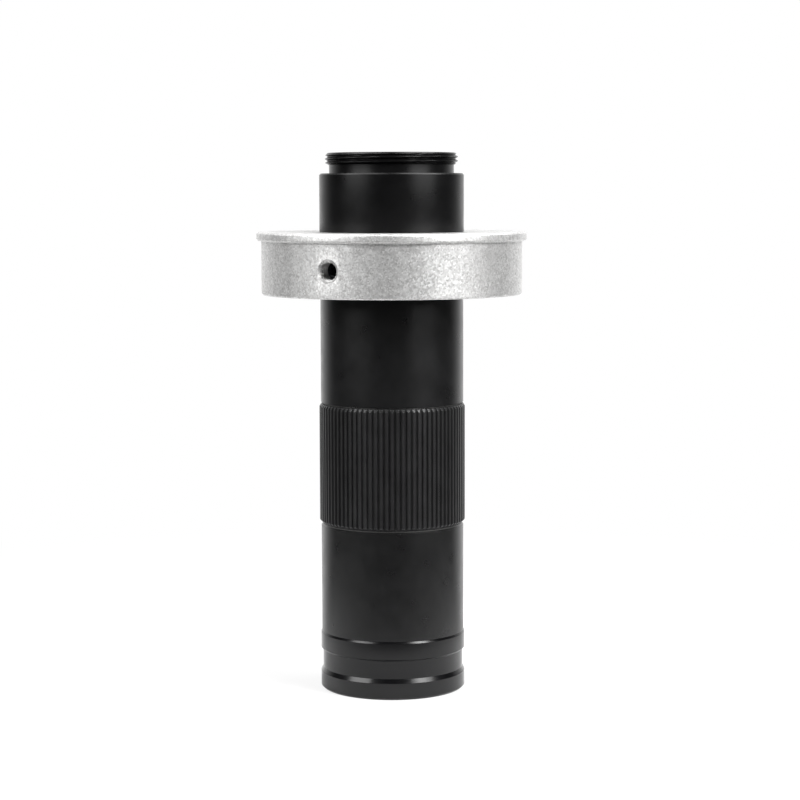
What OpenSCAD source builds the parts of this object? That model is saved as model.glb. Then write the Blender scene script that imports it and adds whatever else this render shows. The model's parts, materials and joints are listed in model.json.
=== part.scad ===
// Zoom microscope camera lens with a screw camera mount at the top, a clamped holder ring,
// a knurled zoom ring and a grooved front ring. It stands on the front ring, and the optical
// axis is Z, from the front face at zero up to the camera side. The front of the lens is -Y.

/* [Front ring] */
// Step from the tube out to the front band, the one that the lens stands on
front_band_step = 0.2; // [0.1:0.05:1.2]
// Height of the front band
front_band_h = 4; // [3:0.1:8]
// Height of the taper at the top of the front band
front_band_taper_h = 0.8; // [0.2:0.1:1.5]
// Depth of the ring light groove below the tube's surface
groove_depth = 0.2; // [0.1:0.05:0.6]
// Height of the ring light groove
groove_h = 3.4; // [2:0.1:8]
// Step from the tube out to the rear band
rear_band_step = 0.2; // [0.1:0.05:1.2]
// Height of the rear band
rear_band_h = 3.8; // [2:0.1:8]
// Height of the taper at the top of the rear band
rear_band_taper_h = 0.4; // [0.2:0.1:1.5]
// Height of the taper at the foot of the rear band
rear_band_foot_taper_h = 0.4; // [0.1:0.1:1.2]
// Step from the objective tube in to the top of the rear band's taper
joint_step = 0.05; // [0:0.05:0.2]
// Width of the edge break at the foot of the front band
foot_chamfer = 0.4; // [0.1:0.1:1]
// Length of the joint that screws into the objective tube
front_joint_h = 4; // [2:0.1:5]

/* [Tubes] */
// Outer diameter of the objective tube and the main barrel
tube_d = 27.5; // [23:0.5:32]
// Length of the objective tube that shows
objective_tube_h = 20.8; // [18:0.1:40]
// Length of the main barrel above the zoom ring
barrel_h = 32.7; // [30:0.1:60]
// Step from the tube in to the thin sleeve that the zoom ring turns on
sleeve_step = 1.45; // [1.35:0.05:1.65]
// Wall of the sleeve, in whose bore the lens cells slide
sleeve_wall = 1.2; // [1:0.05:1.4]
// Length of the sleeve inside the objective tube
sleeve_joint_h = 8; // [5:0.1:9]
// Wall of the main barrel above the aperture stop
barrel_wall = 1.85; // [1.65:0.05:2.25]
// Wall of the tubes round the threaded joints with what screws into them
joint_wall = 1.45; // [1.35:0.05:1.65]
// Width of the edge breaks on the tubes
tube_chamfer = 0.3; // [0.1:0.1:0.6]
// Width of the fine edge break on the barrel, above the zoom ring
barrel_foot_break = 0.1; // [0.05:0.05:0.6]

/* [Zoom ring] */
// Step from the tube out to the ridges of the zoom ring
zoom_ring_step = 0.3; // [0.3:0.05:2]
// Length of the zoom ring
zoom_ring_h = 23.1; // [22.5:0.1:30]
// Number of straight ridges
ridge_count = 84; // [60:1:110]
// Depth of the grooves between the ridges
ridge_depth = 0.38; // [0.2:0.02:0.5]
// Share of the pitch that a ridge takes at its foot
ridge_foot_share = 0.72; // [0.5:0.01:0.9]
// Share of the pitch that a ridge takes at its crest
ridge_crest_share = 0.34; // [0.2:0.01:0.45]
// Width of the edge break at the foot of the zoom ring
zoom_ring_foot_chamfer = 0.6; // [0.2:0.1:0.8]
// Width of the edge break at the top of the zoom ring
zoom_ring_top_chamfer = 0.35; // [0.2:0.05:0.8]
// Thickness of the thrust washers
washer_t = 0.2; // [0.1:0.05:0.5]
// Distance from the tube's surface in to the rim of the thrust washers
washer_inset = 0.3; // [0.3:0.05:0.6]

/* [Zoom drive] */
// Turn of the zoom ring from end to end, in degrees
zoom_turn = 120; // [90:1:140]
// Travel of the variator cell over that turn
variator_travel = 8.4; // [6:0.1:8.6]
// Travel of the compensator cell over that turn
compensator_travel = 4; // [2:0.1:4.2]
// Diameter of the guide pins
pin_d = 2; // [1.5:0.1:2.2]
// Depth of the two keyways in the bore of the zoom ring
keyway_depth = 0.7; // [0.5:0.05:0.75]
// Height of the variator pins above the foot of the zoom ring
variator_pin_up = 3.35; // [3:0.05:4]
// Depth of the compensator pins below the top of the zoom ring
compensator_pin_down = 2.95; // [2.6:0.05:4]
// Distance from a pin to the near end of its cell
pin_to_near_end = 1.8; // [1.6:0.1:2]
// Distance from a pin to the far end of its cell
pin_to_far_end = 6.5; // [6.4:0.1:8]
// Wall left inside a pin, between it and the lens bore
pin_seat_wall = 0.5; // [0.3:0.1:0.6]

/* [Holder ring] */
// Outer diameter of the holder ring, which fits the ring of a stand
holder_d = 50; // [45:0.5:60]
// Height of the holder ring with its flange
holder_h = 11.9; // [8:0.1:16]
// Diameter of the flange
flange_d = 51.8; // [50.5:0.1:64]
// Height of the flange
flange_h = 1.6; // [1:0.1:3]
// Width of the edge breaks on the holder ring
holder_chamfer = 0.3; // [0.1:0.1:0.6]
// Thread diameter of the grub screws
grub_d = 4; // [3:0.1:5]
// Diameter of the flat tip of a grub screw
grub_tip_d = 2; // [1.5:0.1:2.5]
// Length of a grub screw
grub_len = 8; // [4:0.5:9]
// Width across the flats of the hexagon socket
grub_hex = 2; // [1.5:0.1:2.5]
// Depth of the hexagon socket
grub_hex_depth = 2.2; // [1:0.1:3]
// Number of grub screws
grub_count = 3; // [1:1:4]
// Direction of the first grub screw, in degrees left of the front
grub_turn = 28; // [0:1:90]
// Width of the edge break round a grub screw hole
grub_hole_chamfer = 0.35; // [0.1:0.05:0.6]

/* [Camera mount] */
// Step from the barrel out to the head
head_step = 0.1; // [0.05:0.05:2]
// Height of the head from the barrel to the shoulder
head_h = 11.1; // [9.5:0.1:20]
// Length of the joint that screws into the barrel
head_joint_h = 8; // [5:0.1:12]
// Wall of that joint
head_joint_wall = 3; // [2:0.1:4]
// Diameter of the relief under the thread
relief_d = 23.9; // [23.5:0.1:24.2]
// Height of the relief
relief_h = 1.6; // [1:0.1:1.8]
// Thread diameter of the camera mount, one inch
mount_thread_d = 25.4; // [25.3:0.05:25.5]
// Height of the thread
mount_thread_h = 2.3; // [2:0.1:2.6]
// Width of the lead at the top of the thread
mount_thread_lead = 0.5; // [0.2:0.1:0.6]

/* [Lenses] */
// Wall between the objective lenses and the thread of the joint round them
objective_wall = 2.3; // [2.2:0.05:2.6]
// Wall between the rear lenses and the relief of the camera mount
rear_wall = 1.95; // [1.85:0.05:2.25]
// Wall of the variator cell round its lenses
variator_wall = 2.55; // [2.45:0.05:3.05]
// Wall of the compensator cell round its lenses
compensator_wall = 2.05; // [1.95:0.05:2.55]
// Width of the seat that a shoulder or a retainer gives a lens
lens_seat = 0.8; // [0.6:0.1:1.1]
// Distance from the front face to the first lens
front_lens_in = 2.4; // [1.8:0.1:3]
// Thickness of the objective crown
objective_crown_t = 5; // [4.6:0.1:5.2]
// Thickness of the objective flint
objective_flint_t = 2.2; // [1.6:0.1:2.4]
// Thickness of the second objective lens
second_lens_t = 3.2; // [2.8:0.1:3.4]
// Thickness of the variator's hollow lens
variator_hollow_t = 1.6; // [1.2:0.1:1.8]
// Thickness of the variator's meniscus
variator_meniscus_t = 2; // [1.9:0.1:2.2]
// Thickness of the compensator crown
compensator_crown_t = 4; // [3.8:0.1:4.2]
// Thickness of the compensator flint
compensator_flint_t = 1.4; // [1.2:0.1:1.6]
// Thickness of the relay lens
relay_lens_t = 3; // [2.6:0.1:3.2]
// Thickness of the rear crown
rear_crown_t = 3.2; // [2.8:0.1:3.3]
// Thickness of the rear flint
rear_flint_t = 1.6; // [1.4:0.1:1.8]
// Height of the spacer between the relay lens and the rear doublet
rear_spacer_h = 1.2; // [0.8:0.1:1.4]
// Depth of the light recess above the rear retainer
rear_recess_h = 4.4; // [4.1:0.1:5]

/* [Lens surfaces] */
// Width of the flat rim round a hollow surface
lens_rim = 0.5; // [0.3:0.1:0.7]
// Radius of the front of the objective crown
objective_front_r = 60; // [50:1:120]
// Radius of the cemented surface of the objective
objective_cement_r = 36; // [32:1:60]
// Radius of the back of the objective flint
objective_back_r = 90; // [60:1:150]
// Radius of the front of the second objective lens
second_front_r = 55; // [45:1:120]
// Radius of the outer surfaces of the variator's hollow lens
variator_front_r = 30; // [28:1:60]
// Radius of the cemented surface of the variator
variator_cement_r = 32; // [30:1:60]
// Radius of the back of the variator's meniscus
variator_back_r = 70; // [60:1:120]
// Radius of the front of the compensator crown
compensator_front_r = 45; // [40:1:90]
// Radius of the cemented surface of the compensator
compensator_cement_r = 32; // [30:1:60]
// Radius of the back of the compensator flint
compensator_back_r = 80; // [60:1:150]
// Radius of the front of the relay lens
relay_front_r = 50; // [45:1:90]
// Radius of the cemented surface of the rear doublet
rear_cement_r = 30; // [28:1:60]
// Radius of the back of the rear flint
rear_back_r = 60; // [50:1:120]

/* [Retainers and stop] */
// Step from the objective and rear lenses out to the thread of their retainers
retainer_step = 0.5; // [0.4:0.05:0.6]
// Height of the retainers
retainer_h = 1.4; // [1:0.1:1.5]
// Width of the spanner slots in the retainers
spanner_slot_w = 1; // [0.6:0.1:1.2]
// Depth of the spanner slots
spanner_slot_depth = 0.6; // [0.3:0.1:0.8]
// Thickness of the web under the second objective lens
second_web_h = 1.6; // [1:0.1:2]
// Thickness of the web that carries the aperture stop
stop_web_h = 1; // [0.8:0.1:1.5]
// Height of the web that carries the aperture stop above the zoom ring
stop_web_up = 5.4; // [5:0.1:8]
// Width of the web that carries the aperture stop
stop_web_w = 2.9; // [2.4:0.1:3.9]
// Thickness of the aperture stop
stop_t = 0.3; // [0.2:0.05:0.5]
// Hole of the aperture stop
stop_hole_d = 9; // [6:0.5:12]

/* [Fits] */
// Gap between a turning or sliding piece and its bore, on the radius
running_gap = 0.05; // [0.02:0.01:0.08]
// Gap at the end of a turning piece
end_gap = 0.05; // [0.02:0.01:0.1]
// Gap between two screwed or seated pieces
seat_gap = 0.02; // [0.01:0.005:0.03]
// Gap of a pin in its slot, on the radius
pin_gap = 0.08; // [0.05:0.01:0.12]
// Gap between a grub screw and the barrel
grub_tip_gap = 0.05; // [0.05:0.01:0.1]

/* [Hidden] */
$fn = 96;
// Fineness of the lens surfaces, which are shallow
lens_fn = 256;
// Overshoot of a cut past the face that it goes through
over = 1;

// Heights along the axis, from the front face up
groove_z = front_band_h;
rear_band_z = groove_z + groove_h;
objective_tube_z = rear_band_z + rear_band_h;
lower_washer_z = objective_tube_z + objective_tube_h;
zoom_ring_z = lower_washer_z + washer_t + end_gap;
upper_washer_z = zoom_ring_z + zoom_ring_h + end_gap;
barrel_z = upper_washer_z + washer_t;
head_z = barrel_z + barrel_h;
shoulder_z = head_z + head_h;
mount_thread_z = shoulder_z + relief_h;
top_z = mount_thread_z + mount_thread_h;
sleeve_z = lower_washer_z - sleeve_joint_h;

// Diameters that follow the tube
front_band_d = tube_d + 2 * front_band_step;
groove_d = tube_d - 2 * groove_depth;
rear_band_d = tube_d + 2 * rear_band_step;
zoom_ring_d = tube_d + 2 * zoom_ring_step;
washer_d = tube_d - 2 * washer_inset;
head_d = tube_d + 2 * head_step;

// Bores and cells
sleeve_d = tube_d - 2 * sleeve_step;
sleeve_bore = sleeve_d - 2 * sleeve_wall;
barrel_bore = tube_d - 2 * barrel_wall;
joint_d = tube_d - 2 * joint_wall;
cell_d = sleeve_bore - 2 * running_gap;
zoom_ring_bore = sleeve_d + 2 * running_gap;
keyway_d = zoom_ring_bore + 2 * keyway_depth;
pin_tip_d = keyway_d - 2 * running_gap;
slot_w = pin_d + 2 * pin_gap;
holder_bore = tube_d + 2 * running_gap;
joint_bore = joint_d + 2 * seat_gap;
stop_web_hole_d = barrel_bore - 2 * stop_web_w;

// Lenses, with the clear hole in front of or behind each
objective_lens_d = joint_d - 2 * objective_wall;
objective_clear_d = objective_lens_d - 2 * lens_seat;
rear_lens_d = relief_d - 2 * rear_wall;
rear_clear_d = rear_lens_d - 2 * lens_seat;
variator_lens_d = cell_d - 2 * variator_wall;
variator_clear_d = variator_lens_d - 2 * lens_seat;
compensator_lens_d = cell_d - 2 * compensator_wall;
compensator_clear_d = compensator_lens_d - 2 * lens_seat;

// Objective doublet, in the front ring
objective_cement_z = front_lens_in + objective_crown_t;
objective_back_z = objective_cement_z + objective_flint_t;
objective_shoulder_z = objective_back_z - sag(objective_back_r, objective_clear_d / 2) + seat_gap;
objective_retainer_z = front_lens_in + sag(objective_front_r, objective_clear_d / 2) - seat_gap - retainer_h;

// Second objective lens, in the objective tube
second_web_z = objective_tube_z + front_joint_h + seat_gap;
second_shoulder_z = second_web_z + second_web_h;
second_front_z = second_shoulder_z + seat_gap - sag(second_front_r, objective_clear_d / 2);
second_back_z = second_front_z + second_lens_t;
second_retainer_z = second_back_z + seat_gap;

// Variator, whose pins are near the top of its cell
variator_pin_z = zoom_ring_z + variator_pin_up;
variator_cell_z = variator_pin_z - pin_to_far_end;
variator_cell_top = variator_pin_z + pin_to_near_end;
variator_front_z = variator_cell_z + retainer_h + seat_gap
    + sag(variator_front_r, variator_lens_d / 2 - lens_rim);
variator_cement_z = variator_front_z + variator_hollow_t;
variator_back_z = variator_cement_z + variator_meniscus_t;
variator_shoulder_z = variator_back_z + sag(variator_back_r, variator_lens_d / 2 - lens_rim) + seat_gap;

// Compensator, whose pins are near the foot of its cell
compensator_pin_z = zoom_ring_z + zoom_ring_h - compensator_pin_down;
compensator_cell_z = compensator_pin_z - pin_to_near_end;
compensator_cell_top = compensator_pin_z + pin_to_far_end;
compensator_retainer_z = compensator_cell_top - retainer_h;
compensator_back_z = compensator_retainer_z - seat_gap + sag(compensator_back_r, compensator_clear_d / 2);
compensator_cement_z = compensator_back_z - compensator_flint_t;
compensator_front_z = compensator_cement_z - compensator_crown_t;
compensator_shoulder_z = compensator_front_z + sag(compensator_front_r, compensator_clear_d / 2) - seat_gap;

// Aperture stop, in the barrel
stop_web_z = barrel_z + stop_web_up;
stop_z = stop_web_z + stop_web_h;

// Rear lenses, in the head, counted down from the light recess
rear_retainer_top = top_z - rear_recess_h;
rear_retainer_z = rear_retainer_top - retainer_h;
rear_back_z = rear_retainer_z - seat_gap + sag(rear_back_r, rear_clear_d / 2);
rear_cement_z = rear_back_z - rear_flint_t;
rear_front_z = rear_cement_z - rear_crown_t;
rear_spacer_z = rear_front_z - seat_gap - rear_spacer_h;
relay_back_z = rear_spacer_z - seat_gap;
relay_front_z = relay_back_z - relay_lens_t;
relay_shoulder_z = relay_front_z + sag(relay_front_r, rear_clear_d / 2) - seat_gap;
head_joint_z = head_z - head_joint_h;

// Holder ring, which hangs on the barrel under the head
holder_z = head_z - end_gap - holder_h;
flange_z = holder_z + holder_h - flange_h;
grub_z = (holder_z + flange_z) / 2;
grub_tip_x = tube_d / 2 + grub_tip_gap;

// Height of a spherical surface over its vertex at a distance from the axis
function sag(surface_r, from_axis) = surface_r - sqrt(surface_r * surface_r - from_axis * from_axis);

// Diameter of the bore that holds a lens or a ring
function bore_for(d) = d + 2 * seat_gap;

// Thread diameter of the retainer of an objective or rear lens
function retainer_d(lens_d) = lens_d + 2 * retainer_step;

// How far a lens blank reaches past a vertex: a hollow surface ends in a flat rim
function blank_beyond(d, surface_r) =
    surface_r < 0 ? sag(-surface_r, d / 2 - lens_rim) : surface_r > 0 ? over : 0;

// A plain bore or disc between two heights
module bore(d, z0, z1) {
    translate([0, 0, z0]) cylinder(d = d, h = z1 - z0);
}

// A turned ring between two heights
module turned_ring(outer_d, inner_d, z0, z1) {
    difference() {
        bore(outer_d, z0, z1);
        bore(inner_d, z0 - over, z1 + over);
    }
}

// A lens between two vertices; a surface radius is positive where it bulges, and zero where it is flat
module lens(d, z_front, z_back, r_front, r_back) {
    z0 = z_front - blank_beyond(d, r_front);
    z1 = z_back + blank_beyond(d, r_back);
    lens_surface(r_front, z_front, 1)
        lens_surface(r_back, z_back, -1)
            bore(d, z0, z1);
}

// Grinds one surface onto a blank; the glass is above the surface where side is 1, and below it at -1
module lens_surface(surface_r, z, side) {
    if (surface_r > 0) {
        intersection() {
            children();
            translate([0, 0, z + side * surface_r]) sphere(r = surface_r, $fn = lens_fn);
        }
    } else if (surface_r < 0) {
        difference() {
            children();
            translate([0, 0, z + side * surface_r]) sphere(r = -surface_r, $fn = lens_fn);
        }
    } else {
        children();
    }
}

// A threaded retaining ring with two spanner slots in the face that is outside
module retainer(outer_d, inner_d, z0, slots_up) {
    slot_z = slots_up ? z0 + retainer_h - spanner_slot_depth : z0 - over;
    difference() {
        turned_ring(outer_d, inner_d, z0, z0 + retainer_h);
        translate([-outer_d / 2 - over, -spanner_slot_w / 2, slot_z])
            cube([outer_d + 2 * over, spanner_slot_w, spanner_slot_depth + over]);
    }
}

// Runs its children on both sides of the axis, a half turn apart
module both_sides() {
    for (turn = [0, 180]) rotate([0, 0, turn]) children();
}

// A round bar along X between two distances from the axis
module radial_bar(d, from_axis, to_axis, z) {
    translate([from_axis, 0, z]) rotate([0, 90, 0]) cylinder(d = d, h = to_axis - from_axis);
}

// The cut of a helical slot through the sleeve wall, as high as the pin needs at the middle of the wall,
// with a drilled relief at each end
module helical_slot(z, travel) {
    steps = 16;
    r_in = sleeve_bore / 2 - over / 2;
    r_out = sleeve_d / 2 + over / 2;
    slope = atan(travel / (zoom_turn * PI / 180 * (sleeve_bore + sleeve_d) / 4));
    half_h = slot_w / 2 / cos(slope);
    end_d = 2 * (half_h + pin_gap);
    corners = [[r_in, -half_h], [r_out, -half_h], [r_out, half_h], [r_in, half_h]];
    points = [for (i = [0:steps], c = corners)
        let (turn = zoom_turn * i / steps)
        [c[0] * cos(turn), c[0] * sin(turn), z + c[1] + travel * i / steps]];
    sides = [for (i = [0:steps - 1], k = [0:3])
        let (a = 4 * i + k, b = 4 * i + (k + 1) % 4)
        each [[a, b, b + 4], [a, b + 4, a + 4]]];
    last = 4 * steps;
    polyhedron(points, concat([[3, 2, 1, 0], [last, last + 1, last + 2, last + 3]], sides));
    for (end = [0, 1])
        rotate([0, 0, zoom_turn * end]) radial_bar(end_d, r_in, r_out, z + travel * end);
}

// Outline of the zoom ring across the axis, with straight ridges all round
module knurl_outline() {
    pitch = 360 / ridge_count;
    root_r = zoom_ring_d / 2 - ridge_depth;
    crest_r = zoom_ring_d / 2;
    polygon([for (i = [0:ridge_count - 1], p = [
            [root_r, -ridge_foot_share / 2], [crest_r, -ridge_crest_share / 2],
            [crest_r, ridge_crest_share / 2], [root_r, ridge_foot_share / 2]])
        [p[0] * cos(pitch * (i + p[1])), p[0] * sin(pitch * (i + p[1]))]]);
}

module c_mount_head() {
    joint_r = joint_d / 2;
    thread_r = mount_thread_d / 2;
    runout_h = (thread_r - relief_d / 2) / 2;
    color("#1b1b1d") difference() {
        rotate_extrude() polygon([
            [0, head_joint_z], [joint_r, head_joint_z], [joint_r, head_z], [head_d / 2, head_z],
            [head_d / 2, shoulder_z - tube_chamfer], [head_d / 2 - tube_chamfer, shoulder_z],
            [relief_d / 2, shoulder_z], [relief_d / 2, mount_thread_z],
            [thread_r, mount_thread_z + runout_h],
            [thread_r, top_z - mount_thread_lead], [thread_r - mount_thread_lead, top_z], [0, top_z]]);
        bore(joint_d - 2 * head_joint_wall, head_joint_z - over, head_z);
        bore(rear_clear_d, head_z - over, relay_shoulder_z + over);
        bore(bore_for(rear_lens_d), relay_shoulder_z, rear_retainer_z);
        bore(bore_for(retainer_d(rear_lens_d)), rear_retainer_z - retainer_h / 2, top_z + over);
    }
}

module main_barrel() {
    color("#1f1f21") difference() {
        rotate_extrude() polygon([
            [0, sleeve_z], [sleeve_d / 2 - tube_chamfer, sleeve_z], [sleeve_d / 2, sleeve_z + tube_chamfer],
            [sleeve_d / 2, barrel_z], [tube_d / 2 - barrel_foot_break, barrel_z],
            [tube_d / 2, barrel_z + barrel_foot_break], [tube_d / 2, head_z], [0, head_z]]);
        bore(sleeve_bore, sleeve_z - over, stop_web_z);
        bore(stop_web_hole_d, stop_web_z - over, stop_z + over);
        bore(barrel_bore, stop_z, head_z);
        bore(joint_bore, head_joint_z - seat_gap, head_z + over);
        both_sides() helical_slot(variator_pin_z, variator_travel);
        both_sides() helical_slot(compensator_pin_z, -compensator_travel);
    }
}

module holder_ring() {
    mouth_h = grub_hole_chamfer + over;
    color("#c9cacb") difference() {
        rotate_extrude() polygon([
            [holder_bore / 2 + holder_chamfer, holder_z], [holder_d / 2 - holder_chamfer, holder_z],
            [holder_d / 2, holder_z + holder_chamfer], [holder_d / 2, flange_z],
            [flange_d / 2 - holder_chamfer, flange_z], [flange_d / 2, flange_z + holder_chamfer],
            [flange_d / 2, holder_z + holder_h - holder_chamfer],
            [flange_d / 2 - holder_chamfer, holder_z + holder_h],
            [holder_bore / 2 + holder_chamfer, holder_z + holder_h],
            [holder_bore / 2, holder_z + holder_h - holder_chamfer],
            [holder_bore / 2, holder_z + holder_chamfer]]);
        each_grub() {
            radial_bar(bore_for(grub_d), tube_d / 2 - over, holder_d / 2 + over, grub_z);
            translate([holder_d / 2 - grub_hole_chamfer, 0, grub_z]) rotate([0, 90, 0])
                cylinder(d1 = grub_d, d2 = grub_d + 2 * mouth_h, h = mouth_h);
        }
    }
}

// Places its children at each grub screw, along X of their own frame
module each_grub() {
    for (i = [0:grub_count - 1]) rotate([0, 0, -90 - grub_turn + 360 * i / grub_count]) children();
}

module holder_grub_screws() {
    tip_r = grub_tip_d / 2;
    tip_h = grub_d / 2 - tip_r;
    color("#2a2a2c") each_grub() translate([grub_tip_x, 0, grub_z]) rotate([0, 90, 0]) difference() {
        rotate_extrude() polygon([
            [0, 0], [tip_r, 0], [grub_d / 2, tip_h], [grub_d / 2, grub_len], [0, grub_len]]);
        translate([0, 0, grub_len - grub_hex_depth])
            cylinder(d = grub_hex / cos(30), h = grub_hex_depth + over, $fn = 6);
    }
}

module zoom_ring() {
    ring_top = zoom_ring_z + zoom_ring_h;
    color("#232325") difference() {
        intersection() {
            translate([0, 0, zoom_ring_z]) linear_extrude(zoom_ring_h) knurl_outline();
            rotate_extrude() polygon([
                [0, zoom_ring_z], [zoom_ring_d / 2 - zoom_ring_foot_chamfer, zoom_ring_z],
                [zoom_ring_d / 2 + over, zoom_ring_z + zoom_ring_foot_chamfer + over],
                [zoom_ring_d / 2 + over, ring_top - zoom_ring_top_chamfer - over],
                [zoom_ring_d / 2 - zoom_ring_top_chamfer, ring_top], [0, ring_top]]);
        }
        bore(zoom_ring_bore, zoom_ring_z - over, ring_top + over);
        both_sides() translate([0, -slot_w / 2, zoom_ring_z - over])
            cube([keyway_d / 2, slot_w, compensator_pin_z + slot_w - zoom_ring_z + over]);
    }
}

module upper_thrust_washer() {
    color("#e8e4d8") turned_ring(washer_d, zoom_ring_bore, upper_washer_z, barrel_z);
}

module lower_thrust_washer() {
    color("#e8e4d8") turned_ring(washer_d, zoom_ring_bore, lower_washer_z, lower_washer_z + washer_t);
}

module objective_tube() {
    color("#252527") difference() {
        rotate_extrude() polygon([
            [0, objective_tube_z], [tube_d / 2, objective_tube_z],
            [tube_d / 2, lower_washer_z - tube_chamfer], [tube_d / 2 - tube_chamfer, lower_washer_z],
            [0, lower_washer_z]]);
        bore(joint_bore, objective_tube_z - over, second_web_z);
        bore(objective_clear_d, second_web_z - over, second_shoulder_z + over);
        bore(bore_for(objective_lens_d), second_shoulder_z, second_retainer_z);
        bore(bore_for(retainer_d(objective_lens_d)),
            second_retainer_z - retainer_h / 2, second_retainer_z + retainer_h);
        bore(bore_for(sleeve_d), second_retainer_z + retainer_h, lower_washer_z + over);
    }
}

module front_ring() {
    band_r = front_band_d / 2;
    joint_r = joint_d / 2;
    mouth_d = bore_for(retainer_d(objective_lens_d));
    color("#2b2b2e") difference() {
        rotate_extrude() polygon([
            [0, 0], [band_r - foot_chamfer, 0], [band_r, foot_chamfer],
            [band_r, front_band_h - front_band_taper_h], [groove_d / 2, groove_z],
            [groove_d / 2, rear_band_z], [rear_band_d / 2, rear_band_z + rear_band_foot_taper_h],
            [rear_band_d / 2, objective_tube_z - rear_band_taper_h],
            [tube_d / 2 - joint_step, objective_tube_z], [joint_r, objective_tube_z],
            [joint_r, objective_tube_z + front_joint_h], [0, objective_tube_z + front_joint_h]]);
        bore(mouth_d, -over, objective_retainer_z + retainer_h);
        translate([0, 0, -over])
            cylinder(d1 = mouth_d + 2 * foot_chamfer + 2 * over, d2 = mouth_d, h = foot_chamfer + over);
        bore(bore_for(objective_lens_d), objective_retainer_z, objective_shoulder_z);
        bore(objective_clear_d, objective_shoulder_z - over, objective_tube_z + front_joint_h + over);
    }
}

module objective_crown() {
    color("#cfe3ea") lens(
        objective_lens_d, front_lens_in, objective_cement_z, objective_front_r, objective_cement_r);
}

module objective_flint() {
    color("#c4dbe4") lens(
        objective_lens_d, objective_cement_z + seat_gap, objective_back_z,
        -objective_cement_r, objective_back_r);
}

module objective_retainer() {
    color("#1a1a1a") retainer(retainer_d(objective_lens_d), objective_clear_d, objective_retainer_z, false);
}

module second_objective_lens() {
    color("#cfe3ea") lens(objective_lens_d, second_front_z, second_back_z, second_front_r, 0);
}

module second_objective_retainer() {
    color("#1a1a1a") retainer(retainer_d(objective_lens_d), objective_clear_d, second_retainer_z, true);
}

module variator_cell() {
    color("#9a8248") difference() {
        bore(cell_d, variator_cell_z, variator_cell_top);
        bore(bore_for(variator_lens_d), variator_cell_z - over, variator_shoulder_z);
        bore(variator_clear_d, variator_shoulder_z - over, variator_cell_top + over);
        both_sides() radial_bar(
            bore_for(pin_d), variator_lens_d / 2 + pin_seat_wall, cell_d / 2 + over, variator_pin_z);
    }
}

module variator_hollow_lens() {
    color("#cfe3ea") lens(
        variator_lens_d, variator_front_z, variator_cement_z, -variator_front_r, -variator_cement_r);
}

module variator_meniscus() {
    color("#c4dbe4") lens(
        variator_lens_d, variator_cement_z + seat_gap, variator_back_z, variator_cement_r, -variator_back_r);
}

module variator_retainer() {
    color("#1a1a1a") retainer(variator_lens_d, variator_clear_d, variator_cell_z, false);
}

module variator_pins() {
    color("#b9a05a") both_sides() radial_bar(
        pin_d, variator_lens_d / 2 + pin_seat_wall + seat_gap, pin_tip_d / 2, variator_pin_z);
}

module compensator_cell() {
    color("#9a8248") difference() {
        bore(cell_d, compensator_cell_z, compensator_cell_top);
        bore(bore_for(compensator_lens_d), compensator_shoulder_z, compensator_cell_top + over);
        bore(compensator_clear_d, compensator_cell_z - over, compensator_shoulder_z + over);
        both_sides() radial_bar(
            bore_for(pin_d), compensator_lens_d / 2 + pin_seat_wall, cell_d / 2 + over, compensator_pin_z);
    }
}

module compensator_crown() {
    color("#cfe3ea") lens(
        compensator_lens_d, compensator_front_z, compensator_cement_z,
        compensator_front_r, compensator_cement_r);
}

module compensator_flint() {
    color("#c4dbe4") lens(
        compensator_lens_d, compensator_cement_z + seat_gap, compensator_back_z,
        -compensator_cement_r, compensator_back_r);
}

module compensator_retainer() {
    color("#1a1a1a") retainer(compensator_lens_d, compensator_clear_d, compensator_retainer_z, true);
}

module compensator_pins() {
    color("#b9a05a") both_sides() radial_bar(
        pin_d, compensator_lens_d / 2 + pin_seat_wall + seat_gap, pin_tip_d / 2, compensator_pin_z);
}

module aperture_stop() {
    color("#141414") turned_ring(barrel_bore - 2 * seat_gap, stop_hole_d, stop_z, stop_z + stop_t);
}

module stop_retainer() {
    color("#1a1a1a") retainer(barrel_bore - 2 * seat_gap, stop_web_hole_d, stop_z + stop_t, true);
}

module relay_lens() {
    color("#cfe3ea") lens(rear_lens_d, relay_front_z, relay_back_z, relay_front_r, 0);
}

module rear_spacer() {
    color("#1a1a1a") turned_ring(rear_lens_d, rear_clear_d, rear_spacer_z, rear_spacer_z + rear_spacer_h);
}

module rear_crown() {
    color("#cfe3ea") lens(rear_lens_d, rear_front_z, rear_cement_z, 0, rear_cement_r);
}

module rear_flint() {
    color("#c4dbe4") lens(rear_lens_d, rear_cement_z + seat_gap, rear_back_z, -rear_cement_r, rear_back_r);
}

module rear_retainer() {
    color("#1a1a1a") retainer(retainer_d(rear_lens_d), rear_clear_d, rear_retainer_z, true);
}

c_mount_head();
main_barrel();
holder_ring();
holder_grub_screws();
zoom_ring();
upper_thrust_washer();
lower_thrust_washer();
objective_tube();
front_ring();
objective_crown();
objective_flint();
objective_retainer();
second_objective_lens();
second_objective_retainer();
variator_cell();
variator_hollow_lens();
variator_meniscus();
variator_retainer();
variator_pins();
compensator_cell();
compensator_crown();
compensator_flint();
compensator_retainer();
compensator_pins();
aperture_stop();
stop_retainer();
relay_lens();
rear_spacer();
rear_crown();
rear_flint();
rear_retainer();
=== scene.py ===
"""Looks of the microscope camera lens: turned shapes, threads, knurl, finishes, studio and camera."""
import json
import math

import bmesh
import bpy
from mathutils import Matrix, Vector


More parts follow.
